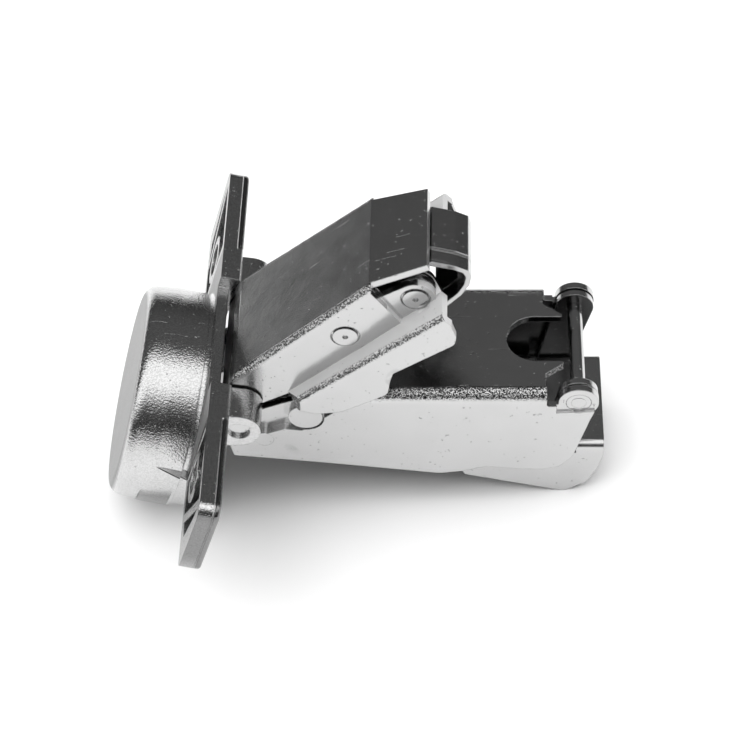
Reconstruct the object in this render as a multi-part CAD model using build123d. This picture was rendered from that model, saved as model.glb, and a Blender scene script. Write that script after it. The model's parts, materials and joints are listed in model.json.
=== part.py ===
# Concealed cup hinge for furniture doors, wide-angle clip-on type, millimetres.
#
# The linkage is drawn in the arm's own side view: x runs along the arm to its rear,
# z is up through the arm's web, y is across, and the rear pin is at (0, 0).
# At the end everything is turned and lifted together, so that the hinge lies on z = 0.
from build123d import *
import math
import os

# ---- sheet and running clearances --------------------------------------------------
SHEET = 1.2             # folded steel of the arm and the outer lever
LINK_SHEET = 1.0        # folded steel of the inner links
PIN_PLAY = 0.05         # radial play of a pin in a turning hole
SIDE_PLAY = 0.05        # play beside a washer or bush
FREE_GAP = 0.3          # gap between parts that pass each other
WIDE = 60.0             # half width of cutting blocks

# ---- pivots in the side view (x, z) ------------------------------------------------
REAR = (0.0, 0.0)             # rear pin, release lever
ARM_PIVOT = (-48.98, -8.60)   # inner lever on the arm
LINK_PIVOT = (-42.2, -3.2)    # arm link on the arm
CROSS = (-35.4, 14.2)         # inner lever on the outer lever
LINK_TOP = (-24.8, 21.1)      # arm link on the outer lever
KNUCKLE = (-52.1, -0.3)       # outer lever on the cup
LEVER_EYE = (-42.14, 6.25)    # cup link on the inner lever
CUP_EYE = (-58.95, -6.49)     # cup link in the cup

# ---- pins --------------------------------------------------------------------------
REAR_PIN_R = 1.15
ARM_PIN_R = 1.5
LINK_PIN_R = 1.2
CROSS_PIN_R = 1.3
TOP_PIN_R = 1.2
KNUCKLE_PIN_R = 1.75
EYE_PIN_R = 1.4
CUP_PIN_R = 1.2
HEAD_R = 1.9            # closed rivet heads
HEAD_T = 0.65
HEAD_PROUD = 0.2        # a sunk head stands this far out of its wall
HEAD_GAP = 0.3          # ring round a sunk head
FOOT_R = 2.05           # inner heads of the same rivets
FOOT_T = 0.45
DIMPLE_R = 0.45
BUSH_T = 0.7            # radial thickness of bushes and washers
WASHER_T = 0.6          # knuckle washers, along the pin
WASHER_GAP = 0.1        # washers and pin ends beside the knuckle
PIN_RECESS = 0.6        # the knuckle pins end this far inside the ears
LINK_HEAD_R = 2.65      # large flat heads of the arm link's lower rivets
LINK_HEAD_T = 1.1

# ---- arm: folded channel, web up ---------------------------------------------------
ARM_HALF = 11.5         # half width outside
ARM_TOP = 2.3           # outer face of the web above the rear pin
ARM_BEND = 2.1          # outer bend radius
ARM_EAR_R = 3.1
ARM_EAR_IN = 0.4        # the rear ears stand this much further in
NOSE_IN = SHEET         # the nose plates are joggled in by one sheet
ARM_WEB_FRONT = -31.0
ARM_WEB_REAR = -2.2     # tips of the web beside the slot
SLOT_END = -11.0        # closed end of the rear slot
SLOT_HALF = 4.5

# ---- release lever: folded, web up, ears on the rear pin ---------------------------
LEVER_INSET = 1.9       # its walls stand this much inside the arm's outer face
LEVER_HALF = ARM_HALF - LEVER_INSET
LEVER_SHEET = 1.1
LEVER_TOP = -12.3       # outer face of its web
LEVER_BEND = 1.5
LEVER_REAR = 4.6
LEVER_FRONT = -18.0
LEVER_EAR_R = 3.0
LEVER_EAR_FOOT = (-3.7, -16.2)
LEVER_EAR_FOOT_R = 2.5
HEEL = (-1.6, -22.6)    # centre of the rounded heel that the hinge rests on
HEEL_R = 1.7

# ---- outer lever -------------------------------------------------------------------
KNUCKLE_INSET = 1.1         # its front stands this much inside the arm's outer face
KINK_INSET = 0.8            # it narrows by this to the web's kink
REAR_INSET = 0.7            # and by this from there to the web's rear edge
OUTER_FRONT_HALF = ARM_HALF - KNUCKLE_INSET
OUTER_MID_HALF = OUTER_FRONT_HALF - KINK_INSET
OUTER_REAR_HALF = OUTER_MID_HALF - REAR_INSET
OUTER_BEND = 1.1            # outer radius of the bend along the web
WEB_START = (-52.8, 5.3)    # web line, outer face
WEB_KINK = (-31.6, 24.6)
WEB_END = (-23.1, 27.7)
TAPER_START = -51.0        # the walls draw in from here to the kink
JOG_START = (-44.7, 1.6)    # top of the joggled shelf, front to rear
JOG_END = (-20.9, 21.9)
JOG_ROUND = 1.1             # its rounded outer corner
JOG_SLANT = 2.1             # the shelf's front end slants back by this to the tongue
PANEL_TOP = (-31.3, 23.4)   # the wall's rear edge, from the web down to the shelf
PANEL_RUN = 23.2            # where that edge meets the shelf, along the shelf
TONGUE_IN = ARM_HALF + FREE_GAP
KNUCKLE_R = 3.1
LUG_INSET = 1.15            # lugs for the arm link's rivets, inside the wall at the kink
LUG_OUT = OUTER_MID_HALF - LUG_INSET
LUG_R = 3.0
LUG_ROOT = (-30.8, 18.3)    # forward end of the lug, behind the wall
LUG_ROOT_R = 2.3
TAPER_GAP = 0.1             # spare beside a wall that isn't square to its rivet

# ---- inner lever, arm link, nose bracket, cup link ---------------------------------
LINK_GAP_SIDE = 0.1         # arm link inside the lugs
INNER_GAP_SIDE = 0.25       # inner lever inside the arm link
CUP_GAP_SIDE = 0.3          # cup link inside the inner lever
LINK_OUT = LUG_OUT - SHEET - LINK_GAP_SIDE
LINK_WEB = 4.4              # web's outer face beside the arm link's pivot line
LINK_BACK = 2.1             # other edge of its walls
LINK_WEB_START = 7.0        # the web begins this far from the lower pivot
LINK_WEB_STOP = 7.5         # and ends this far before the upper one
LINK_EYE_R = 3.0            # lobes round the upper pivot
EYE_RIM = 1.2               # metal round the arm link's slack eye
LINK_GAP = 1.21             # travel of the arm link's lower eye about its pin
INNER_OUT = LINK_OUT - LINK_SHEET - INNER_GAP_SIDE
INNER_LOBES = (2.9, 2.7, 2.6)   # round its three pivots, low to high
BRACKET_OUT = INNER_OUT - 0.3
BRACKET_SHEET = 0.8
CUP_LINK_SHEET = 1.2
CUP_EYE_RIM = 1.1           # metal round the cup link's slack eye
CUP_LINK_OUT = INNER_OUT - LINK_SHEET - CUP_GAP_SIDE
CUP_LINK_GAP = 1.39         # travel of the cup link's eye about its pin

# ---- cup with flange: one die casting ----------------------------------------------
CUP_CENTRE = (-61.57, -13.0)  # cup axis at the flange's back face
CUP_TILT = 16.6               # cup axis below the arm's axis, degrees
CUP_R = 17.5
CUP_DRAFT = 0.6               # radius lost to the closed end
CUP_STRAIGHT = 5.5            # the wall is undrafted this far behind the flange
CUP_DEPTH = 10.8
CUP_EDGE = 2.0
CUP_WALL = 1.8
CUP_FLOOR = 1.5
CUP_MOUTH_HALF = 13.5         # half width of the mouth
RIM_RELIEF = 0.4              # the rim is smaller than the cup by this
RIM_BACK = 1.0                # and starts this far behind the flange
RIM_T = 1.5
CUP_ROOT = 0.8                # fillet between the cup and the flange's back
FLANGE_T = 3.3
FLANGE_HALF = 35.6
FLANGE_TAPER = 1.0            # each wing is shorter by this at its lower edge
FLANGE_LOW = 2.0              # lower and upper edge from the cup axis
FLANGE_HIGH = 18.7
FLANGE_CORNER = 2.4
FLANGE_FOOT = 1.6             # radius of the two lower corners
FLANGE_EDGE = 0.5             # rounded front edge of the wings
SADDLE_T = 1.8                # flange between the ears
SADDLE_HIGH = 16.4            # its upper edge, from the cup axis
EAR_GAP = 0.35                # ears beside the outer lever
EAR_WIDTH = 5.75
EAR_IN = OUTER_FRONT_HALF + EAR_GAP
EAR_OUT = EAR_IN + EAR_WIDTH
EAR_R = 3.4
EAR_LOW = 11.0                # the mouth is cut clear of the ears above this
EAR_ROOT_R = 1.2
SCREW_SPACING = 45.0
SCREW_RISE = 9.5              # screw line above the cup axis
SCREW_HOLE_R = 2.7
SCREW_SINK_R = 4.4
SCREW_SINK = 1.4
SCREW_BOSS = 1.3              # metal round the screw holes
POCKET_DEPTH = 2.0
POCKET_RIM = 1.3
POCKET_START = 18.8           # first pocket of a wing, from the middle
LUG_IN = CUP_LINK_OUT + CUP_GAP_SIDE   # lugs inside the cup hold the cup link's pin
LUG_SIDE = LUG_IN + 2.5
CUP_LUG_R = 2.3

# ---- springs -----------------------------------------------------------------------
COIL_X = -14.5
COIL_R = 2.4
COIL_WIRE = 0.45
COIL_TURNS = 5
LEAF_T = 0.7
LEAF_GAP_SIDE = 0.2
LEAF_FOOT = -7.0        # ends and turn of the leaf, above the cup axis
LEAF_TIP = 3.0
LEAF_TURN = 12.6
LEAF_HALF = CUP_LINK_OUT - CUP_LINK_SHEET - LEAF_GAP_SIDE


# ---- helpers -----------------------------------------------------------------------
def drawing(points, radii=None):
    """A face from corner points; radii maps a corner's index to its rounding."""
    face = make_face(Polyline(*points, close=True))
    for index, radius in (radii or {}).items():
        spot = Vector(*points[index])
        corner = min(face.vertices(), key=lambda v: (Vector(v) - spot).length)
        face = fillet(corner, radius)
    return face


def disc(centre, radius):
    return Pos(*centre) * Circle(radius)


def bar(*lobes):
    """The outline round several discs, each (centre, radius)."""
    rings = [disc(centre, radius) for centre, radius in lobes]
    outline = rings[0]
    for ring in rings[1:]:
        outline = outline + ring
    return make_hull(outline.edges())


def slab(face, y0, y1):
    """A side-view face given thickness from y0 to y1."""
    plane = Plane(origin=(0, y0, 0), x_dir=(1, 0, 0), z_dir=(0, -1, 0))
    return extrude(plane * face, amount=-(y1 - y0))


def both(solid):
    return solid + mirror(solid, about=Plane.XZ)


def walls(face, inner, outer):
    """The same side-view face on both sides of the hinge."""
    return both(slab(face, inner, outer))


def pair(face, inner, outer):
    """Two separate solids, one on each side."""
    one = slab(face, inner, outer)
    return Compound([one, mirror(one, about=Plane.XZ)])


def rod(centre, radius, y0, y1):
    return slab(disc(centre, radius), y0, y1)


def along(a, b, s, side=0.0):
    """The point s from a towards b, and side to the right of that line."""
    length = math.hypot(b[0] - a[0], b[1] - a[1])
    ux = (b[0] - a[0]) / length
    uz = (b[1] - a[1]) / length
    return (a[0] + ux * s + uz * side, a[1] + uz * s - ux * side)


def gap(a, b):
    return math.hypot(b[0] - a[0], b[1] - a[1])


def studs(centre, radius, start, stop, head_r, head_t, inner_r=0.0, inner_t=0.0, dimple=0.0):
    """A pair of headed rivets: shank from start to stop, head outside, foot inside."""
    one = rod(centre, radius, start, stop)
    one += rod(centre, head_r, stop, stop + head_t)
    if inner_t:
        one += rod(centre, inner_r, start - inner_t, start)
    if dimple:
        one -= rod(centre, dimple, stop + head_t / 2, stop + head_t + 1)
    return Compound([one, mirror(one, about=Plane.XZ)])


def channel(half, top, sheet, bend, low, x0, x1):
    """A straight inverted U along x, with rounded bends."""
    outer = Pos(0, (top + low) / 2) * Rectangle(2 * half, top - low)
    outer = fillet(outer.vertices().group_by(Axis.Y)[-1], bend)
    inner_top = top - sheet
    inner = Pos(0, (inner_top + low) / 2) * Rectangle(2 * (half - sheet), inner_top - low)
    inner = fillet(inner.vertices().group_by(Axis.Y)[-1], bend - sheet)
    section = Plane(origin=(x0, 0, 0), x_dir=(0, 1, 0), z_dir=(1, 0, 0)) * (outer - inner)
    return extrude(section, amount=x1 - x0)


# ---- arm ---------------------------------------------------------------------------
def make_arm():
    side = drawing(
        [
            (ARM_WEB_FRONT - 2.0, ARM_TOP), (-4.9, ARM_TOP), (-4.9, -0.4), (-3.4, -0.4),
            (-3.4, -2.0), (2.5, -1.6), (1.9, -3.6), (-0.1, -11.5), (-0.5, -13.0),
            (-2.3, -15.4), (-5.0, -16.2), (-8.7, -16.2), (-14.1, -15.5), (-17.7, -16.7),
            (-21.4, -17.3), (-38.9, -14.7), (-54.0, -12.7), (-54.6, -9.6), (-51.0, -8.3),
            (-45.6, -6.0), (-42.9, -6.4), (-38.3, -2.4), (-36.2, -0.6),
        ],
        {9: 2.0, 11: 2.5, 14: 1.2, 2: 0.4, 17: 0.8},
    )
    arm = channel(ARM_HALF, ARM_TOP, SHEET, ARM_BEND, -30.0, -56.0, 4.0)
    flat = ARM_HALF - ARM_BEND
    tips = drawing([(ARM_WEB_FRONT, -1.0), (ARM_WEB_REAR, -1.0), (ARM_WEB_REAR, 5.0), (ARM_WEB_FRONT, 5.0)])
    arm = arm & (slab(side, -WIDE, WIDE) + slab(tips, -flat, flat))
    # The web starts behind the levers; in front of it only the walls go on.
    arm -= Pos(ARM_WEB_FRONT - 10, 0, ARM_TOP) * Box(20, 2 * (ARM_HALF - SHEET), 6)
    # Nose plates, joggled in by one sheet, carry the link's rivets.
    nose = drawing(
        [
            (-53.6, -10.6), (-53.4, -6.6), (-51.6, -4.9), (-49.2, -3.3), (-49.2, -2.7),
            (-45.9, -1.2), (-43.6, -0.4), (-41.0, -0.3), (-37.6, -1.6), (-36.6, -4.2),
            (-42.0, -8.4), (-46.0, -8.2), (-51.0, -10.6),
        ],
        {5: 1.0, 7: 1.0, 1: 0.8},
    )
    plate_out = ARM_HALF - NOSE_IN
    arm += walls(nose, plate_out - SHEET, plate_out)
    arm -= walls(disc(LINK_PIVOT, LINK_HEAD_R + FREE_GAP), plate_out, WIDE)
    # Rear ears round the pin stand slightly further in than the walls.
    ear = disc(REAR, ARM_EAR_R) + drawing(
        [(-3.4, -0.4), (-3.4, -3.6), (1.9, -3.6), (2.9, 0.1), (0.0, 1.0)]
    )
    arm += walls(ear, ARM_HALF - SHEET - ARM_EAR_IN, ARM_HALF - ARM_EAR_IN)
    # Web: slot open to the rear, its tips cut back on the slant.
    slot = Pos(SLOT_END + SLOT_HALF + 10, 0) * Rectangle(20, 2 * SLOT_HALF)
    slot += Pos(SLOT_END + SLOT_HALF, 0) * Circle(SLOT_HALF)
    arm -= extrude(Plane.XY.offset(-1) * slot, amount=6)
    corner = make_face(Polyline(
        (ARM_WEB_REAR, SLOT_HALF + 0.6), (-5.1, 7.2), (-5.1, flat + 0.2), (0.0, flat + 0.2),
        (0.0, SLOT_HALF + 0.6), close=True,
    ))
    tip_cut = extrude(Plane.XY.offset(0.5) * corner, amount=4)
    arm -= both(tip_cut)
    arm -= rod(REAR, REAR_PIN_R, -WIDE, WIDE)
    recess = rod(REAR, HEAD_R + PIN_PLAY, ARM_HALF - ARM_EAR_IN - 0.5, WIDE)
    arm -= both(recess)
    arm -= rod(ARM_PIVOT, ARM_PIN_R, -WIDE, WIDE)
    arm -= rod(LINK_PIVOT, LINK_PIN_R, -WIDE, WIDE)
    return arm


# ---- release lever -----------------------------------------------------------------
def make_release_lever():
    side = drawing(
        [
            (LEVER_REAR, LEVER_TOP), (LEVER_REAR, -15.0), (3.8, -18.4), (2.0, -22.4),
            (-4.0, -24.6), (-5.2, -23.2), (-11.7, -21.6), (-17.7, -20.0),
            (LEVER_FRONT, LEVER_TOP),
        ],
        {2: 2.0, 7: 1.0},
    )
    # The heel is a round of its own radius that the hinge rests on.
    cut = drawing([(-30, HEEL[1]), (LEVER_REAR + 6, HEEL[1]), (LEVER_REAR + 6, -40), (-30, -40)])
    heel = bar((HEEL, HEEL_R), ((-11.7, -20.6), 1.0), ((1.2, -20.9), 1.4))
    side = (side - cut) + heel
    lever = channel(LEVER_HALF, LEVER_TOP, LEVER_SHEET, LEVER_BEND, -40.0, -25.0, LEVER_REAR)
    lever = lever & slab(side, -WIDE, WIDE)
    # Ears rise from the walls to the rear pin; the web is notched beside them.
    inner = LEVER_HALF - LEVER_SHEET
    notch = drawing([(-6.8, -14.4), (0.2, -14.4), (0.2, -10.0), (-6.8, -10.0)])
    lever -= walls(notch, inner - 0.8, LEVER_HALF + 1)
    lever += walls(bar((REAR, LEVER_EAR_R), (LEVER_EAR_FOOT, LEVER_EAR_FOOT_R)), inner, LEVER_HALF)
    lever -= rod(REAR, REAR_PIN_R + PIN_PLAY, -WIDE, WIDE)
    return lever


# ---- outer lever -------------------------------------------------------------------
def outer_half(x):
    """Half width of the outer lever at x, outside."""
    if x < WEB_KINK[0]:
        share = max(0.0, (x - TAPER_START) / (WEB_KINK[0] - TAPER_START))
        return OUTER_FRONT_HALF - KINK_INSET * share
    return OUTER_MID_HALF - REAR_INSET * (x - WEB_KINK[0]) / (WEB_END[0] - WEB_KINK[0])


def outer_plan(inset, reach):
    """The outer lever's plan as a prism, its walls moved in by inset."""
    rear = WEB_END[0] + reach
    pts = [
        (-60.0, OUTER_FRONT_HALF - inset), (TAPER_START, OUTER_FRONT_HALF - inset),
        (WEB_KINK[0], OUTER_MID_HALF - inset), (rear, outer_half(rear) - inset),
    ]
    mirrored = [(x, -y) for x, y in reversed(pts)]
    return extrude(Plane.XY.offset(-30) * make_face(Polyline(*pts, *mirrored, close=True)), amount=80)


def on_web(edge):
    """True for an edge that runs along the web's outer line."""
    x = edge.center().X
    z = edge.center().Z
    a, b = (WEB_START, WEB_KINK) if x < WEB_KINK[0] else (WEB_KINK, WEB_END)
    line_z = a[1] + (x - a[0]) * (b[1] - a[1]) / (b[0] - a[0])
    return abs(z - line_z) < 0.2


def make_shelf():
    """Joggled shelf on one side: out from the wall, round the corner, down into the tongue."""
    out = TONGUE_IN + SHEET
    wall = OUTER_REAR_HALF - SHEET
    section = Polyline(
        (wall, 0.0), (out, 0.0), (out, -JOG_ROUND - SHEET), (TONGUE_IN, -JOG_ROUND - SHEET),
        (TONGUE_IN, -SHEET), (wall, -SHEET), close=True,
    )
    face = make_face(section)
    face = fillet(min(face.vertices(), key=lambda v: (Vector(v) - Vector(out, 0)).length), JOG_ROUND)
    dx = JOG_END[0] - JOG_START[0]
    dz = JOG_END[1] - JOG_START[1]
    place = Plane(origin=(JOG_START[0], 0, JOG_START[1]), x_dir=(0, 1, 0), z_dir=(dx, 0, dz))
    shelf = extrude(place * face, amount=gap(JOG_START, JOG_END))
    front = make_face(Polyline(
        (-60.0, outer_half(TAPER_START)), (JOG_START[0], outer_half(JOG_START[0])),
        (JOG_START[0] + JOG_SLANT, out + 0.1), (-60.0, out + 0.1), close=True,
    ))
    return shelf - extrude(Plane.XY.offset(-20) * front, amount=40)


def make_outer_lever():
    a, b, c = WEB_START, WEB_KINK, WEB_END
    shelf_length = gap(JOG_START, JOG_END)
    body = drawing(
        [
            a, b, c, along(JOG_START, JOG_END, shelf_length, 0.4), along(JOG_START, JOG_END, 0.0, 0.4),
            (-48.6, -0.9), (-52.1, -3.4), (-55.2, -0.3),
        ],
    )
    body = body - drawing([(-58, -6), (-48.9, -6), (-48.9, -0.8), (-51, 0.5), (-58, 0.5)])
    body = body + disc(KNUCKLE, KNUCKLE_R)
    body = body + drawing([(-55.2, -0.3), WEB_START, (-49.0, 4.0), (-49.0, -0.7), (-52.1, -0.3)])
    outer = slab(body, -WIDE, WIDE) & outer_plan(0.0, 1.0)
    ridge = [
        edge for edge in outer.edges()
        if edge.length > 0.5 and abs(edge.center().Y) > OUTER_REAR_HALF / 2 and on_web(edge)
    ]
    outer = fillet(ridge, OUTER_BEND)
    outer += both(make_shelf())
    inner = drawing([
        along(a, b, -12.0, SHEET), along(a, b, gap(a, b) + 0.15, SHEET),
        along(b, c, gap(b, c) + 6.0, SHEET), (-10.0, -30.0), (-70.0, -30.0),
    ])
    hollow = slab(inner, -WIDE, WIDE) & outer_plan(SHEET, 8.0)
    lever = outer - hollow
    # Behind the wall's slanted rear edge the side is open between the web and the shelf.
    panel_foot = along(JOG_START, JOG_END, PANEL_RUN)
    beyond = along(JOG_START, JOG_END, shelf_length + 4.0)
    window = drawing([
        PANEL_TOP, panel_foot, beyond, along(b, c, gap(b, c) + 4.0, SHEET), along(b, c, 0.2, SHEET),
    ])
    lever -= walls(window, OUTER_REAR_HALF - SHEET - 1.0, WIDE)
    # There the web's edge is cut straight, without the bend.
    rim = drawing([
        PANEL_TOP, (PANEL_TOP[0], b[1] + 8.0), (c[0] + 4.0, b[1] + 8.0), (c[0] + 4.0, PANEL_TOP[1]),
    ])
    lever -= slab(rim, -WIDE, WIDE) - outer_plan(OUTER_BEND, 8.0)
    # A step leads in from the wall's rear edge to the lug.
    step_length = gap(PANEL_TOP, panel_foot)
    step = drawing([
        along(PANEL_TOP, panel_foot, 1.0, SHEET), along(PANEL_TOP, panel_foot, 1.0),
        panel_foot, along(PANEL_TOP, panel_foot, step_length, SHEET),
    ])
    lug_in = LUG_OUT - SHEET
    lever += walls(step, lug_in, WIDE) & outer_plan(0.0, 1.0)
    lever += walls(bar((LINK_TOP, LUG_R), (LUG_ROOT, LUG_ROOT_R)), lug_in, LUG_OUT)
    apron_end = shelf_length - 2.0
    apron = drawing([
        along(PANEL_TOP, panel_foot, step_length - 1.5, SHEET / 2), LINK_TOP,
        along(JOG_START, JOG_END, apron_end), along(JOG_START, JOG_END, apron_end, SHEET),
        along(JOG_START, JOG_END, PANEL_RUN - 1.0, SHEET),
    ])
    lever += walls(apron, lug_in, LUG_OUT)
    # Tongue that laps outside the arm.
    tongue = drawing(
        [
            along(JOG_START, JOG_END, 1.6, JOG_ROUND + 0.4), (-42.8, 0.4), (-40.5, -0.4), (-36.5, 0.1),
            (-32.1, 2.6), (-29.2, 4.5), (-28.8, 7.4), (-28.3, 9.3), (-19.0, 16.0), (-18.8, 17.6),
            (-19.6, 20.3), along(JOG_START, JOG_END, shelf_length, JOG_ROUND + 0.4),
        ],
        {5: 1.5, 8: 1.6},
    )
    lever += walls(tongue, TONGUE_IN, TONGUE_IN + SHEET)
    # Rivet heads are sunk into the wall and into the lug.
    wall = outer_half(CROSS[0])
    lever -= walls(disc(CROSS, HEAD_R + HEAD_GAP), wall + HEAD_PROUD - HEAD_T, TONGUE_IN - FREE_GAP)
    lever -= walls(disc(LINK_TOP, HEAD_R + HEAD_GAP), LUG_OUT + HEAD_PROUD - HEAD_T, LUG_OUT + 1.0)
    lever -= rod(CROSS, CROSS_PIN_R, -WIDE, WIDE)
    lever -= rod(LINK_TOP, TOP_PIN_R, -WIDE, WIDE)
    lever -= rod(KNUCKLE, KNUCKLE_PIN_R + PIN_PLAY, -WIDE, WIDE)
    return lever


# ---- inner lever, arm link, cup link -----------------------------------------------
def make_inner_lever():
    low, mid, top = INNER_LOBES
    wall = bar((ARM_PIVOT, low), (LEVER_EYE, mid), (CROSS, top))
    lever = walls(wall, INNER_OUT - LINK_SHEET, INNER_OUT)
    # Folded back that joins the two walls below the cup link.
    back = drawing([
        along(ARM_PIVOT, CROSS, -1.5, -low), along(ARM_PIVOT, CROSS, 3.6, -low),
        along(ARM_PIVOT, CROSS, 3.6, -low + LINK_SHEET), along(ARM_PIVOT, CROSS, -1.5, -low + LINK_SHEET),
    ])
    lever += slab(back & (wall + back), -INNER_OUT, INNER_OUT)
    lever -= rod(ARM_PIVOT, ARM_PIN_R + PIN_PLAY, -WIDE, WIDE)
    lever -= rod(LEVER_EYE, EYE_PIN_R, -WIDE, WIDE)
    lever -= rod(CROSS, CROSS_PIN_R + PIN_PLAY, -WIDE, WIDE)
    return lever


def make_arm_link():
    inner = LINK_OUT - LINK_SHEET
    a, b = LINK_PIVOT, LINK_TOP
    length = gap(a, b)
    eye = LINK_PIN_R + LINK_GAP + FREE_GAP
    web_end = length - LINK_WEB_STOP
    wall = disc(a, eye + EYE_RIM) + disc(b, LINK_EYE_R) + drawing([
        along(a, b, 0.0, -LINK_BACK), along(a, b, length, -LINK_EYE_R + 0.3),
        along(a, b, length, LINK_EYE_R - 0.1), along(a, b, web_end, LINK_WEB),
        along(a, b, 5.0, LINK_WEB), along(a, b, 0.0, 3.6),
    ])
    link = walls(wall, inner, LINK_OUT)
    web = drawing([
        along(a, b, LINK_WEB_START, LINK_WEB), along(a, b, web_end, LINK_WEB),
        along(a, b, web_end, LINK_WEB - LINK_SHEET), along(a, b, LINK_WEB_START, LINK_WEB - LINK_SHEET),
    ])
    link += slab(web, -LINK_OUT, LINK_OUT)
    link -= rod(a, eye, -WIDE, WIDE)
    link -= rod(b, TOP_PIN_R + PIN_PLAY, -WIDE, WIDE)
    return link


def make_nose_bracket():
    """Small folded bracket on the same rivets, curled forward under the outer lever's edge."""
    curl = make_face(Polyline(
        (-25.6, 25.0), (-22.4, 26.1), (-18.9, 25.1), (-17.0, 24.1), (-16.6, 22.8),
        (-16.9, 21.0), (-18.0, 18.8), (-19.7, 16.8), (-21.4, 15.0),
        (-21.95, 15.55), (-20.3, 17.2), (-18.65, 19.1), (-17.65, 21.1), (-17.4, 22.7),
        (-17.8, 23.6), (-19.2, 24.3), (-22.6, 25.15), (-25.4, 24.2), close=True,
    ))
    bracket = slab(curl, -BRACKET_OUT, BRACKET_OUT)
    edge = BRACKET_SHEET / 2
    wall = bar((LINK_TOP, LINK_EYE_R), ((-20.6, 17.4), edge), ((-21.4, 16.4), edge))
    bracket += walls(wall, BRACKET_OUT - BRACKET_SHEET, BRACKET_OUT)
    bracket -= rod(LINK_TOP, TOP_PIN_R, -WIDE, WIDE)
    return bracket


def make_cup_link():
    eye = CUP_PIN_R + CUP_LINK_GAP + FREE_GAP
    length = gap(LEVER_EYE, CUP_EYE)
    wall = bar((LEVER_EYE, 2.6), (along(LEVER_EYE, CUP_EYE, length * 0.5), 1.8))
    wall += bar((along(LEVER_EYE, CUP_EYE, length * 0.5), 1.8), (CUP_EYE, eye + CUP_EYE_RIM))
    link = walls(wall, CUP_LINK_OUT - CUP_LINK_SHEET, CUP_LINK_OUT)
    back = drawing([
        along(LEVER_EYE, CUP_EYE, 3.0, 1.9), along(LEVER_EYE, CUP_EYE, length - 4.0, 1.9),
        along(LEVER_EYE, CUP_EYE, length - 4.0, 0.9), along(LEVER_EYE, CUP_EYE, 3.0, 0.9),
    ])
    link += slab(back, -CUP_LINK_OUT, CUP_LINK_OUT)
    link -= rod(LEVER_EYE, EYE_PIN_R + PIN_PLAY, -WIDE, WIDE)
    link -= rod(CUP_EYE, eye, -WIDE, WIDE)
    return link


# ---- cup ---------------------------------------------------------------------------
def cup_point(point):
    """A side-view point in the cup's own frame: along its axis, and above it."""
    dx = point[0] - CUP_CENTRE[0]
    dz = point[1] - CUP_CENTRE[1]
    c = math.cos(math.radians(CUP_TILT))
    s = math.sin(math.radians(CUP_TILT))
    return (dx * c - dz * s, dx * s + dz * c)


def place_cup(solid):
    return Location((CUP_CENTRE[0], 0, CUP_CENTRE[1]), (0, CUP_TILT, 0)) * solid


def across_door(sketch, start, depth):
    """A sketch drawn as (across, up) in the cup's frame, given depth forward from start."""
    plane = Plane(origin=(start, 0, 0), x_dir=(0, 1, 0), z_dir=(1, 0, 0))
    return extrude(plane * sketch, amount=depth)


def make_flange():
    """Plate across the door, above the cup axis; its ends slant in towards the lower edge."""
    narrow = FLANGE_HALF - FLANGE_TAPER
    plan = drawing(
        [
            (-narrow, FLANGE_LOW), (narrow, FLANGE_LOW),
            (FLANGE_HALF, FLANGE_HIGH), (-FLANGE_HALF, FLANGE_HIGH),
        ],
        {0: FLANGE_FOOT, 1: FLANGE_FOOT, 2: FLANGE_CORNER, 3: FLANGE_CORNER},
    )
    flange = across_door(plan, 0.0, FLANGE_T)
    return fillet(flange.edges().group_by(Axis.X)[-1], FLANGE_EDGE)


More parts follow.
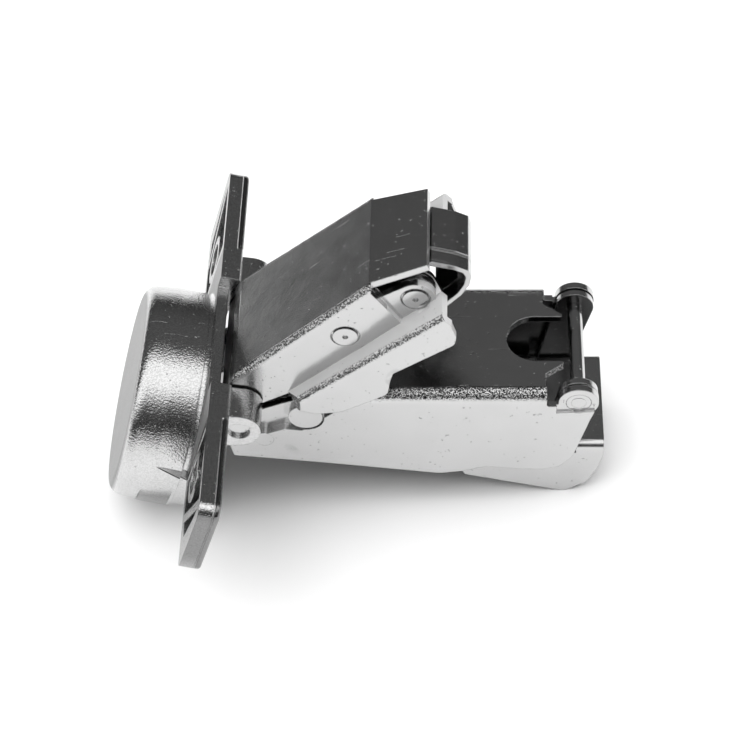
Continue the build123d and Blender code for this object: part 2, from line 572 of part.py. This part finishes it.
def make_cup():
    knuckle = cup_point(KNUCKLE)
    eye = cup_point(CUP_EYE)
    # Cup: drafted closed end with a rounded edge, straight wall, slightly smaller rim.
    low = (Align.CENTER, Align.CENTER, Align.MIN)
    drafted = CUP_DEPTH - CUP_STRAIGHT
    bowl = Cone(CUP_R - CUP_DRAFT, CUP_R, drafted, align=low)
    bowl += Pos(0, 0, drafted) * Cylinder(CUP_R, CUP_STRAIGHT - RIM_BACK, align=low)
    bowl = fillet(bowl.edges().group_by(Axis.Z)[0], CUP_EDGE)
    rim = Cylinder(CUP_R - RIM_RELIEF, RIM_BACK + RIM_T, align=low)
    bowl += Pos(0, 0, CUP_DEPTH - RIM_BACK) * rim
    cup = Location((-CUP_DEPTH, 0, 0), (0, 90, 0)) * bowl
    cup += make_flange()
    root = [
        edge for edge in cup.edges().filter_by(GeomType.CIRCLE)
        if abs(edge.center().X) < 0.01 and abs(edge.radius - CUP_R) < 2 * RIM_RELIEF
        and edge.bounding_box().max.Z > FLANGE_LOW + 1.0
    ]
    cup = fillet(root, CUP_ROOT)
    # Ears on the flange's front carry the knuckle pins.
    ear_foot = FLANGE_T - 1.3
    ear = bar(
        (knuckle, EAR_R), ((ear_foot, knuckle[1] + 1.8), EAR_ROOT_R),
        ((ear_foot, knuckle[1] - 3.4), EAR_ROOT_R),
    )
    cup += walls(ear, EAR_IN, EAR_OUT)
    # Mouth and hollow.
    floor = CUP_FLOOR - CUP_DEPTH
    room = Location((floor, 0, 0), (0, 90, 0)) * Cylinder(CUP_R - CUP_WALL, WIDE, align=low)
    mouth = Box(2 * WIDE, 2 * CUP_MOUTH_HALF, 2 * WIDE)
    ear_zone = drawing([(RIM_T, EAR_LOW), (WIDE, EAR_LOW), (WIDE, WIDE), (RIM_T, WIDE)])
    cup -= (room & mouth) - walls(ear_zone, EAR_IN, EAR_OUT)
    # The flange is thinner and lower between the ears, where the outer lever's knuckles turn.
    between = Box(WIDE, 2 * EAR_IN, WIDE, align=(Align.MIN, Align.CENTER, Align.MIN))
    cup -= Pos(SADDLE_T, 0, EAR_LOW - 1.0) * between
    round_body = Location((-CUP_DEPTH, 0, 0), (0, 90, 0)) * Cylinder(CUP_R, CUP_DEPTH, align=low)
    cup -= Pos(-RIM_BACK, 0, SADDLE_HIGH) * between - round_body
    # Lugs inside hold the cup link's pin.
    lug = bar((eye, CUP_LUG_R), ((floor, eye[1]), CUP_LUG_R))
    buried = floor - CUP_FLOOR / 2
    lug = lug - drawing([(buried - 9, -20), (buried, -20), (buried, 30), (buried - 9, 30)])
    cup += walls(lug, LUG_IN, LUG_SIDE)
    # Hollow backs of the wings, then the screw holes in their bosses.
    for side in (1, -1):
        for pocket in wing_pockets(side):
            cup -= across_door(pocket, -0.5, POCKET_DEPTH + 0.5)
        spot = Pos(side * SCREW_SPACING / 2, SCREW_RISE)
        cup += across_door(spot * Circle(SCREW_HOLE_R + SCREW_BOSS), 0.0, FLANGE_T - 0.2)
        cup -= across_door(spot * Circle(SCREW_HOLE_R), -5.0, 12.0)
        sink = Location((FLANGE_T - SCREW_SINK, side * SCREW_SPACING / 2, SCREW_RISE), (0, 90, 0))
        cup -= sink * Cone(SCREW_HOLE_R, SCREW_SINK_R, SCREW_SINK, align=low)
    cup -= walls(disc(knuckle, KNUCKLE_PIN_R), EAR_IN - 0.1, EAR_OUT + 0.1)
    cup -= walls(disc(eye, CUP_PIN_R), LUG_IN - 0.1, LUG_SIDE + 0.1)
    return place_cup(cup)


def wing_pockets(side):
    """Two cast pockets in the back of one wing, a rib between them."""
    low = FLANGE_LOW + POCKET_RIM
    high = FLANGE_HIGH - POCKET_RIM
    first = [(POCKET_START, low), (25.3, low), (32.2, high), (POCKET_START, high)]
    second = [(27.0, low + 0.3), (30.5, low + 1.5), (33.0, high - 3.5), (33.2, high - 1.0)]
    return [drawing([(side * y, z) for y, z in points]) for points in (first, second)]


# ---- springs -----------------------------------------------------------------------
def make_release_spring():
    bottom = LEVER_TOP + COIL_WIRE + 0.05
    height = ARM_TOP - SHEET - COIL_WIRE - 0.05 - bottom
    path = Helix(height / COIL_TURNS, height, COIL_R)
    section = Plane(origin=path @ 0, z_dir=path % 0) * RegularPolygon(COIL_WIRE, 8)
    coil = sweep(section, path, is_frenet=True)
    return Pos(COIL_X, 0, bottom) * coil


def make_closing_spring():
    floor = -CUP_DEPTH + CUP_FLOOR
    eye = cup_point(CUP_EYE)
    reach = CUP_PIN_R + CUP_LINK_GAP + FREE_GAP + CUP_EYE_RIM
    top = eye[0] - reach - FREE_GAP
    points = [
        (floor, LEAF_FOOT), (floor + LEAF_T, LEAF_FOOT), (floor + LEAF_T, LEAF_TURN - 3.2),
        (top - LEAF_T, LEAF_TURN - 2.2), (top - LEAF_T, LEAF_TIP), (top, LEAF_TIP),
        (top, LEAF_TURN), (floor, LEAF_TURN - 1.0),
    ]
    leaf = drawing(points, {6: 1.0, 7: 1.0})
    return place_cup(slab(leaf, -LEAF_HALF, LEAF_HALF))


# ---- pins, rivets, bushes ----------------------------------------------------------
def make_rear_pin():
    face = ARM_HALF - ARM_EAR_IN
    pin = rod(REAR, REAR_PIN_R, -face, face)
    pin += both(rod(REAR, HEAD_R, face - 0.5, face - 0.05))
    return pin


def make_bush(centre, bore, start, stop):
    ring = disc(centre, bore + BUSH_T) - disc(centre, bore)
    return pair(ring, start, stop)


def build():
    link_in = LINK_OUT - LINK_SHEET
    inner_in = INNER_OUT - LINK_SHEET
    bracket_in = BRACKET_OUT - BRACKET_SHEET
    plate_out = ARM_HALF - NOSE_IN
    plate_in = plate_out - SHEET
    cross_wall = outer_half(CROSS[0])
    knuckle_in = OUTER_FRONT_HALF - SHEET
    parts = {
        "arm": make_arm(),
        "release_lever": make_release_lever(),
        "rear_pin": make_rear_pin(),
        "release_spring": make_release_spring(),
        "inner_lever": make_inner_lever(),
        "inner_lever_axle": rod(ARM_PIVOT, ARM_PIN_R, -ARM_HALF, ARM_HALF),
        "axle_bushes": make_bush(
            ARM_PIVOT, ARM_PIN_R, INNER_OUT + SIDE_PLAY, plate_in - SIDE_PLAY
        ),
        "outer_lever": make_outer_lever(),
        "cross_rivets": studs(
            CROSS, CROSS_PIN_R, inner_in - SIDE_PLAY, cross_wall + HEAD_PROUD - HEAD_T,
            HEAD_R, HEAD_T, FOOT_R, FOOT_T, DIMPLE_R,
        ),
        "cross_bushes": make_bush(
            CROSS, CROSS_PIN_R + PIN_PLAY, INNER_OUT + SIDE_PLAY, cross_wall - SHEET - TAPER_GAP
        ),
        "nose_bracket": make_nose_bracket(),
        "arm_link": make_arm_link(),
        "link_top_rivets": studs(
            LINK_TOP, TOP_PIN_R, bracket_in, LUG_OUT + HEAD_PROUD - HEAD_T,
            HEAD_R, HEAD_T, FOOT_R, FOOT_T, DIMPLE_R,
        ),
        "link_pivot_rivets": studs(
            LINK_PIVOT, LINK_PIN_R, link_in, plate_out, LINK_HEAD_R, LINK_HEAD_T
        ),
        "cup_link": make_cup_link(),
        "lever_eye_pin": rod(LEVER_EYE, EYE_PIN_R, -INNER_OUT, INNER_OUT),
        "cup": make_cup(),
        "knuckle_pins": pair(disc(KNUCKLE, KNUCKLE_PIN_R), knuckle_in - WASHER_GAP, EAR_OUT - PIN_RECESS),
        "knuckle_washers": make_bush(
            KNUCKLE, KNUCKLE_PIN_R, knuckle_in - WASHER_GAP - WASHER_T, knuckle_in - WASHER_GAP
        ),
        "cup_eye_pin": rod(CUP_EYE, CUP_PIN_R, -LUG_SIDE, LUG_SIDE),
        "closing_spring": make_closing_spring(),
    }
    return parts


# ---- rest on the table -------------------------------------------------------------
def rest_tilt():
    """The turn about y that lays the cup's front edge and the release lever's heel level."""
    c = math.cos(math.radians(CUP_TILT))
    s = math.sin(math.radians(CUP_TILT))
    rim_r = CUP_R - RIM_RELIEF
    rim = (CUP_CENTRE[0] + RIM_T * c - rim_r * s, CUP_CENTRE[1] - RIM_T * s - rim_r * c)
    reach = gap(rim, HEEL)
    slope = math.atan2(HEEL[1] - rim[1], HEEL[0] - rim[0])
    return math.degrees(slope - math.asin(HEEL_R / reach))


def main():
    parts = build()
    turn = Rot(0, rest_tilt(), 0)
    turned = {name: turn * solid for name, solid in parts.items()}
    box = Compound(list(turned.values())).bounding_box()
    shift = Pos(-(box.min.X + box.max.X) / 2, 0, -box.min.Z)
    os.makedirs("parts", exist_ok=True)
    for name, solid in turned.items():
        export_step(shift * solid, f"parts/{name}.step")
    print("tilt", round(rest_tilt(), 4), "shift", shift.position)
    pivots = {
        "rear": REAR, "arm_pivot": ARM_PIVOT, "link_pivot": LINK_PIVOT, "cross": CROSS,
        "link_top": LINK_TOP, "knuckle": KNUCKLE, "lever_eye": LEVER_EYE, "cup_eye": CUP_EYE,
        "cup_centre": CUP_CENTRE,
    }
    for name, (x, z) in pivots.items():
        spot = (shift * turn * Pos(x, 0, z)).position
        print(name, round(spot.X, 4), round(spot.Z, 4))


main()
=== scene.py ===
import bpy
import json
import math
from mathutils import Matrix, Vector


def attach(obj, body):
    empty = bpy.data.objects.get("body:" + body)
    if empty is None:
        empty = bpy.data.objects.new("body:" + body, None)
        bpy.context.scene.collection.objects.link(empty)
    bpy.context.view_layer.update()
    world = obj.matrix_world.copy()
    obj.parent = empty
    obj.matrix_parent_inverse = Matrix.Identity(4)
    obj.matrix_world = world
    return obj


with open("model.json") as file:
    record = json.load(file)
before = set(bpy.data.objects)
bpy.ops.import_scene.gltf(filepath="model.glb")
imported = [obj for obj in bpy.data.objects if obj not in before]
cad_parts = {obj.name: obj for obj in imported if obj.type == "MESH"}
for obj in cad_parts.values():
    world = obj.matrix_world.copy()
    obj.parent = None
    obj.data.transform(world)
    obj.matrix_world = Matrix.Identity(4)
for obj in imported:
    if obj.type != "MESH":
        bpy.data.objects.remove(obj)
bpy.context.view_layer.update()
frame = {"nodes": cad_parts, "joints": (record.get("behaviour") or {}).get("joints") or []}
print("stage: frame loaded")

# Places are given in the arm's side view: x to the rear and z up through the web, in millimetres from the
# rear pin. Two of the frame's joints say how far that view is turned at rest.
mmPerMetre = 1000
joints = {joint["name"]: joint for joint in frame["joints"]}
rearSpot = Vector(joints["release_lever_on_arm"]["pos_m"])
noseSpot = Vector(joints["inner_lever_on_arm"]["pos_m"])
noseInArm = (-48.98, -8.60)
away = noseSpot - rearSpot
restTurn = math.atan2(noseInArm[1], noseInArm[0]) - math.atan2(away.z, away.x)
turnCos = math.cos(restTurn)
turnSin = math.sin(restTurn)


def inRow(x, y, z):
    return Vector((x * turnCos + z * turnSin, y, z * turnCos - x * turnSin)) / mmPerMetre + rearSpot


def turned(vector):
    return inRow(*vector) - inRow(0, 0, 0)


# The camera stands in the arm's side view, with angles in degrees and slides and distance in millimetres.
# Its focus and the render's width are in pixels, and its near and far limits in metres.
view = {
    "elevation": 50.075, "azimuth": 3.603, "roll": 2.745,
    "slideX": 32.765, "slideY": 1.548, "distance": 343.24,
    "focus": 2189.6, "renderWidth": 736, "sensor": 36, "near": 0.01, "far": 20,
}


def makeCamera(view):
    e = math.radians(view["elevation"])
    a = math.radians(view["azimuth"])
    r = math.radians(view["roll"])
    right = Vector((math.cos(a), math.sin(a), 0))
    ahead = Vector((-math.sin(a) * math.cos(e), math.cos(a) * math.cos(e), -math.sin(e)))
    up = Vector((-math.sin(a) * math.sin(e), math.cos(a) * math.sin(e), math.cos(e)))
    centre = -(right * view["slideX"] + up * view["slideY"] + ahead * view["distance"])
    across = math.cos(r) * right - math.sin(r) * up
    upward = math.sin(r) * right + math.cos(r) * up
    data = bpy.data.cameras.new("camera")
    data.sensor_width = view["sensor"]
    data.lens = view["focus"] * view["sensor"] / view["renderWidth"]
    data.clip_start = view["near"]
    data.clip_end = view["far"]
    camera = bpy.data.objects.new("camera", data)
    bpy.context.scene.collection.objects.link(camera)
    axes = [turned(across).normalized(), turned(upward).normalized(), -turned(ahead).normalized()]
    place = Matrix(axes).transposed().to_4x4()
    place.translation = inRow(*centre)
    camera.matrix_world = place
    bpy.context.scene.camera = camera


makeCamera(view)
print("stage: camera")


# A value that a shader's nodes work out. Its operators add Math nodes, and fromNode adds any other node.
class Wire:
    def __init__(self, socket):
        self.socket = socket
        self.tree = socket.id_data

    @staticmethod
    def fromNode(tree, kind, output, inputs, **settings):
        node = tree.nodes.new(kind)
        for name, value in settings.items():
            if name == "stops":
                setStops(node.color_ramp.elements, value)
            else:
                setattr(node, name, value)
        for name, value in inputs.items():
            plug(value, node.inputs[name])
        return Wire(node.outputs[output])

    def also(self, output):  # another output of the same node
        return Wire(self.socket.node.outputs[output])

    def maths(self, operation, *others):
        return Wire.fromNode(
            self.tree, "ShaderNodeMath", 0, dict(enumerate((self, *others))), operation=operation,
        )

    def __add__(self, other):
        return self.maths("ADD", other)

    def __radd__(self, other):
        return self.maths("ADD", other)

    def __sub__(self, other):
        return self.maths("SUBTRACT", other)

    def __rsub__(self, other):
        return Wire.fromNode(self.tree, "ShaderNodeMath", 0, {0: other, 1: self}, operation="SUBTRACT")

    def __mul__(self, other):
        return self.maths("MULTIPLY", other)

    def __rmul__(self, other):
        return self.maths("MULTIPLY", other)

    def __truediv__(self, other):
        return self.maths("DIVIDE", other)

    def __rtruediv__(self, other):
        return Wire.fromNode(self.tree, "ShaderNodeMath", 0, {0: other, 1: self}, operation="DIVIDE")


def plug(value, socket):
    if isinstance(value, Wire):
        value.tree.links.new(value.socket, socket)
    else:
        socket.default_value = value


def setStops(elements, stops):
    while len(elements) > 1:
        elements.remove(elements[-1])
    for index, (place, value) in enumerate(stops):
        element = elements[0] if index == 0 else elements.new(place)
        element.position = place
        element.color = (value, value, value, 1)


def split(vector):
    x = Wire.fromNode(vector.tree, "ShaderNodeSeparateXYZ", "X", {"Vector": vector})
    return x, x.also("Y"), x.also("Z")


def noise(spot, scale, detail, roughness):
    return Wire.fromNode(spot.tree, "ShaderNodeTexNoise", 0, {
        "Vector": spot, "Scale": scale, "Detail": detail, "Roughness": roughness,
    })


def rising(value, low, high):  # 0 below low, 1 above high and smooth between
    return Wire.fromNode(value.tree, "ShaderNodeMapRange", "Result", {
        "Value": value, "From Min": low, "From Max": high,
    }, interpolation_type="SMOOTHSTEP")


# The sky is a ring of soft panels. Each stop is a place from the front (0) over the top (0.5) to the
# back (1), and the brightness there.
room = {
    "floorSize": 3.0, "floorColour": (0.86, 0.86, 0.86, 1), "floorRough": 0.9, "floorGloss": 0.2,
    "sky": [
        (0.00, 0.85), (0.025, 0.55), (0.05, 0.035), (0.12, 0.05), (0.18, 0.10), (0.235, 0.34),
        (0.285, 1.55), (0.500, 1.55), (0.520, 0.10), (0.72, 0.115), (0.80, 0.10), (0.93, 0.06),
        (0.97, 0.05), (1.0, 0.06),
    ],
    "lampPlace": (-0.02, 0.06, 0.7), "lampSize": 1.2, "lampPower": 9.0,
}


def makeFloor(room):
    bpy.ops.mesh.primitive_plane_add(size=room["floorSize"], location=(0, 0, 0))
    floor = bpy.context.object
    floor.name = "floor"
    paper = bpy.data.materials.new("floorPaper")
    paper.use_nodes = True
    shader = paper.node_tree.nodes["Principled BSDF"]
    shader.inputs["Base Color"].default_value = room["floorColour"]
    shader.inputs["Roughness"].default_value = room["floorRough"]
    shader.inputs["Specular IOR Level"].default_value = room["floorGloss"]
    floor.data.materials.append(paper)


def makeSky(room):
    world = bpy.data.worlds.new("studio")
    bpy.context.scene.world = world
    world.use_nodes = True
    tree = world.node_tree
    towards = split(Wire.fromNode(tree, "ShaderNodeTexCoord", "Generated", {}))
    angle = towards[2].maths("ARCTAN2", towards[1] * -1.0) / math.pi
    sky = Wire.fromNode(tree, "ShaderNodeValToRGB", "Color", {"Fac": angle}, stops=room["sky"])
    plug(sky, tree.nodes["Background"].inputs["Color"])
    bpy.context.scene.view_settings.view_transform = "Standard"


def makeLamp(room):
    data = bpy.data.lights.new("overhead", "AREA")
    data.size = room["lampSize"]
    data.energy = room["lampPower"]
    lamp = bpy.data.objects.new("overhead", data)
    lamp.location = room["lampPlace"]
    lamp.rotation_euler = Vector(room["lampPlace"]).to_track_quat("Z", "Y").to_euler()
    lamp.visible_glossy = False  # it whitens the floor and isn't mirrored in the metal
    bpy.context.scene.collection.objects.link(lamp)


makeFloor(room)
makeSky(room)
makeLamp(room)
print("stage: floor and light")


# Where a point of the surface is in the arm's side view, and which way it faces there. "y" and "fy" are the
# same on both sides, "side" isn't, and "inward" is positive on a wall that faces the middle.
def armPlace(spot, facing):
    x, y, z = split(spot)
    fx, fy, fz = split(facing)
    dx = (x - rearSpot.x) * mmPerMetre
    dz = (z - rearSpot.z) * mmPerMetre
    side = y * mmPerMetre
    return {
        "x": dx * turnCos - dz * turnSin, "y": side.maths("ABSOLUTE"), "z": dx * turnSin + dz * turnCos,
        "fx": fx * turnCos - fz * turnSin, "fy": fy.maths("ABSOLUTE"), "fz": fx * turnSin + fz * turnCos,
        "inward": y.maths("SIGN") * fy * -1.0, "side": side,
    }


# A zone's limits are (starts, full, still full, ends) along an axis, with None at an open end. A key that
# starts with "line" holds two points of the side view and the limits of the distance below their line. An
# empty zone is everywhere.
def zoneMask(place, zone):
    parts = []
    for axis, limits in zone.items():
        if axis.startswith("line"):
            (ax, az), (bx, bz), limits = limits
            length = math.hypot(bx - ax, bz - az)
            value = (place["x"] - ax) * ((bz - az) / length) - (place["z"] - az) * ((bx - ax) / length)
        else:
            value = place[axis]
        starts, full, stillFull, ends = limits
        if starts is not None:
            parts.append(rising(value, starts, full))
        if ends is not None:
            parts.append(1.0 - rising(value, stillFull, ends))
    return math.prod(parts)


def anyOf(place, zones):
    total = zoneMask(place, zones[0])
    for zone in zones[1:]:
        total = total.maths("MAXIMUM", zoneMask(place, zone))
    return total


# Plated steel: clouds, fine grain, pits and scratches all over, sandy bends, painted shade on the inside
# faces, and edges that catch the light. Depths are in metres, and a noise is (scale, detail, roughness).
# Painted shade: faces turned to the middle, and faces turned downward, are darkened in the base colour.
inside = [{"inward": (0.3, 0.6, None, None)}, {"fz": (None, None, -0.6, -0.3)}]
bends = {"fy": (0.06, 0.24, 0.86, 0.99)}
sheetLook = {
    "tone": 0.56, "rough": 0.21, "edgeRadius": 0.00026, "edgeSamples": 4,
    "cloud": (210.0, 3.0, 0.55), "cloudMiddle": 0.5,
    "cloudTone": 0.05, "cloudRough": 0.08, "cloudDepth": 0.00002,
    "grain": (1900.0, 2.0, 0.6), "grainDepth": 0.000003,
    "pits": (1500.0, 1.0, 0.5), "pitBand": (0.72, 0.77), "pitTone": 0.15, "pitDepth": 0.00005,
    "scratches": (1.0, 1.0, 0.5), "scratchTurn": (0.3, 0.2, 0.6), "scratchStretch": (90.0, 2600.0, 90.0),
    "scratchBand": (0.72, 0.74), "scratchClouds": (0.45, 0.6), "scratchTone": 0.1, "scratchDepth": 0.00003,
    "sand": (3600.0, 1.0, 0.6), "sandRough": 0.05, "sandDepth": 0.00014, "sandZones": [bends],
    "speckles": (3400.0, 1.0, 0.5), "speckleBand": (0.42, 0.60), "speckleTone": 0.85,
    "paintedShadeTone": 0.8, "paintedShadeZones": inside,
    "ridgeDepth": 0.0, "ridgeZones": [],
    "dullMetal": 0.5, "dullRough": 0.15, "paintedShadeOnDull": 0.0, "dullAndShadedZones": [],
}


def makeMetal(name, look):
    material = bpy.data.materials.new(name)
    material.use_nodes = True
    tree = material.node_tree
    shader = tree.nodes["Principled BSDF"]
    spot = Wire.fromNode(tree, "ShaderNodeTexCoord", "Object", {})
    place = armPlace(spot, spot.also("Normal"))
    cloud = noise(spot, *look["cloud"])
    pits = rising(noise(spot, *look["pits"]), *look["pitBand"])
    lay = Wire.fromNode(tree, "ShaderNodeMapping", "Vector", {
        "Vector": spot, "Rotation": look["scratchTurn"], "Scale": look["scratchStretch"],
    })
    scratch = rising(noise(lay, *look["scratches"]), *look["scratchBand"])
    scratch = scratch * rising(cloud, *look["scratchClouds"])

    drift = cloud - look["cloudMiddle"]
    tone = look["tone"] + drift * look["cloudTone"] - pits * look["pitTone"] - scratch * look["scratchTone"]
    rough = look["rough"] + drift * look["cloudRough"]
    height = cloud * look["cloudDepth"] + noise(spot, *look["grain"]) * look["grainDepth"]
    height = height - pits * look["pitDepth"] - scratch * look["scratchDepth"]
    shader.inputs["Metallic"].default_value = 1.0
    if look["sandZones"]:
        sand = anyOf(place, look["sandZones"])
        speckle = rising(noise(spot, *look["speckles"]), *look["speckleBand"])
        tone = tone * (1.0 - sand * speckle * look["speckleTone"])
        rough = rough + sand * look["sandRough"]
        height = height + sand * noise(spot, *look["sand"]) * look["sandDepth"]
    # Painted shade: the listed zones darken the base colour where shade falls.
    if look["paintedShadeZones"]:
        tone = tone * (1.0 - anyOf(place, look["paintedShadeZones"]) * look["paintedShadeTone"])
    if look["ridgeZones"]:
        height = height + anyOf(place, look["ridgeZones"]) * look["ridgeDepth"]
    # Duller zones: less metallic and rougher. Where paintedShadeOnDull is set, they are also darkened as
    # painted shade.
    if look["dullAndShadedZones"]:
        dull = anyOf(place, look["dullAndShadedZones"])
        tone = tone * (1.0 - dull * look["paintedShadeOnDull"])
        rough = rough + dull * look["dullRough"]
        plug(1.0 - dull * look["dullMetal"], shader.inputs["Metallic"])

    colour = Wire.fromNode(tree, "ShaderNodeCombineColor", "Color", {
        "Red": tone, "Green": tone, "Blue": tone,
    })
    plug(colour, shader.inputs["Base Color"])
    plug(rough, shader.inputs["Roughness"])
    edge = Wire.fromNode(
        tree, "ShaderNodeBevel", "Normal", {"Radius": look["edgeRadius"]}, samples=look["edgeSamples"],
    )
    bump = Wire.fromNode(tree, "ShaderNodeBump", "Normal", {
        "Strength": 1.0, "Distance": 1.0, "Height": height, "Normal": edge,
    })
    plug(bump, shader.inputs["Normal"])
    return material


armLook = dict(sheetLook, paintedShadeTone=0.9, speckles=(4600.0, 1.0, 0.5), speckleTone=0.92)
releaseLook = dict(sheetLook, paintedShadeTone=0.85, sandZones=[])

# The outer lever's shelf, below the line of its web, is duller than its walls.
shelf = {"line": ((-52.8, 5.3), (-31.6, 24.6), (5.0, 5.5, None, None)), "fy": (None, None, 0.4, 0.6)}
outerLook = dict(sheetLook, speckleTone=0.75, dullAndShadedZones=[shelf], dullMetal=0.75, dullRough=0.12)


# The cup's own side view goes forward along its axis from the flange's back, and up from the axis.
cupView = {"centre": (-61.57, -13.0), "tilt": 16.6}


def cupSpot(forward, up):
    centreX, centreZ = cupView["centre"]
    c = math.cos(math.radians(cupView["tilt"]))
    s = math.sin(math.radians(cupView["tilt"]))
    return (centreX + forward * c + up * s, centreZ - forward * s + up * c)


# The cup's casting has a step along the wings' front, a groove and a recess in its sides, and a duller
# closed end. The lip, the wings' backs and tips, the groove, the recess and the closed end are darkened as
# painted shade.
wings = (17.4, 17.9, None, None)
flangeFront = (cupSpot(3.3, 0), cupSpot(3.3, 1))
lip = {"line": (*flangeFront, (-0.98, -0.90, 0.02, 0.05)), "y": wings}
lipEdge = {"line": (*flangeFront, (-1.15, -1.0, -0.9, -0.75)), "y": wings}
wingBacks = {"fx": (None, None, -0.9, -0.7), "y": wings}
wingTips = {"y": (34.4, 34.9, None, None), "fy": (0.7, 0.9, None, None)}
# The closed end is darkened as painted shade, besides being duller.
shadedClosedEnd = {"fx": (None, None, -0.93, -0.70), "y": (None, None, 17.4, 17.9)}
groove = {
    "y": (15.0, 15.5, None, None),
    "lineTop": (cupSpot(-5.9, 3.5), cupSpot(0, 3.4), (0.0, 0.3, None, None)),
    "lineLow": (cupSpot(-5.9, 3.5), cupSpot(-0.3, 1.2), (None, None, -0.3, 0.0)),
    "lineBack": (cupSpot(-6.0, -2), cupSpot(-6.0, 2), (-0.5, 4.0, None, None)),
}
recess = {
    "y": (12.0, 13.0, None, None),
    "lineTop": (cupSpot(-7.8, -3.6), cupSpot(-1.4, -1.6), (-0.6, 2.2, None, None)),
    "lineBack": (cupSpot(-6.6, -2), cupSpot(-6.6, 2), (0.0, 0.3, None, None)),
    "lineFront": (cupSpot(-1.5, -2), cupSpot(-1.5, 2), (None, None, -0.2, 0.0)),
}
castLook = dict(
    sheetLook, tone=0.60, rough=0.11, pitTone=0.05, sandDepth=0.00005,
    sandZones=[{}], speckles=(4200.0, 1.0, 0.5), speckleTone=0.15,
    paintedShadeTone=0.62, paintedShadeZones=[lip, wingBacks, wingTips, groove, recess],
    ridgeDepth=-0.0003, ridgeZones=[lipEdge, groove, recess],
    dullMetal=0.8, dullRough=0.2, paintedShadeOnDull=0.66, dullAndShadedZones=[shadedClosedEnd],
)

# The inner links, and the nose bracket with a crease near one side.
linkLook = dict(sheetLook, tone=0.50, paintedShadeTone=0.6)
noseLook = dict(linkLook, paintedShadeTone=0.9, ridgeDepth=0.0003, ridgeZones=[{"side": (-3.2, -2.9, -2.75, -2.45)}])
# The fold's dark plating is painted shade for the gap in front of the lever's web.
shadedFoldLook = dict(linkLook, tone=0.22, rough=0.35)

# Pins and rivets are turned and smooth, and the springs are dark wire and strip.
pinLook = dict(sheetLook, rough=0.18, pitTone=0.05, edgeRadius=0.00015, sandZones=[], paintedShadeZones=[])
wireLook = dict(pinLook, tone=0.30, rough=0.3)

looks = {
    "platedArm": makeMetal("platedArm", armLook),
    "platedOuter": makeMetal("platedOuter", outerLook),
    "platedRelease": makeMetal("platedRelease", releaseLook),
    "platedCast": makeMetal("platedCast", castLook),
    "platedLink": makeMetal("platedLink", linkLook),
    "platedNose": makeMetal("platedNose", noseLook),
    "paintedShadeFold": makeMetal("paintedShadeFold", shadedFoldLook),
    "platedPin": makeMetal("platedPin", pinLook),
    "springWire": makeMetal("springWire", wireLook),
}
nodeLook = {
    "arm": "platedArm", "outer_lever": "platedOuter", "release_lever": "platedRelease",
    "inner_lever": "platedLink", "arm_link": "platedLink", "cup_link": "platedLink",
    "nose_bracket": "platedNose", "cup": "platedCast",
    "release_spring": "springWire", "closing_spring": "springWire",
}
for name, node in frame["nodes"].items():
    node.data.materials.clear()
    node.data.materials.append(looks[nodeLook.get(name, "platedPin")])
print("stage: materials")

# The outer lever's front edge, folded down between its walls and round the knuckle. Its dark plating is
# painted shade.
fold = {
    "line": [
        (-52.25, 5.35), (-52.75, 5.1), (-53.35, 3.9), (-54.1, 2.15),
        (-54.95, 0.2), (-55.2, -0.4), (-55.15, -1.2),
    ],
    "half": 9.2, "thick": 0.6, "edge": 0.08, "edgeSteps": 2,
}


def makeFold(fold):
    line = fold["line"]
    bpy.ops.object.select_all(action="DESELECT")
    bpy.ops.mesh.primitive_plane_add(size=1.0)
    piece = bpy.context.object
    piece.name = "outer_lever_fold"
    for point in piece.data.vertices:
        x, z = line[1] if point.co.x > 0 else line[0]
        point.select = point.co.x > 0
        point.co = inRow(x, math.copysign(fold["half"], point.co.y), z)
    for part in (*piece.data.edges, *piece.data.polygons):
        part.select = False
    bpy.ops.object.mode_set(mode="EDIT")
    bpy.ops.mesh.select_mode(type="VERT")
    for start, end in zip(line[1:], line[2:]):
        step = turned((end[0] - start[0], 0, end[1] - start[1]))
        bpy.ops.mesh.extrude_region_move(TRANSFORM_OT_translate={"value": step})
    bpy.ops.mesh.select_all(action="SELECT")
    bpy.ops.mesh.normals_make_consistent(inside=False)
    bpy.ops.object.mode_set(mode="OBJECT")
    wall = piece.modifiers.new("wall", "SOLIDIFY")
    wall.thickness = fold["thick"] / mmPerMetre
    wall.offset = math.copysign(1.0, piece.data.polygons[0].normal.x)
    soft = piece.modifiers.new("soft", "BEVEL")
    soft.width = fold["edge"] / mmPerMetre
    soft.segments = fold["edgeSteps"]
    bpy.ops.object.modifier_apply(modifier=wall.name)
    bpy.ops.object.modifier_apply(modifier=soft.name)
    piece.data.materials.append(looks["paintedShadeFold"])
    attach(piece, "outer_lever")


makeFold(fold)
print("stage: fold")
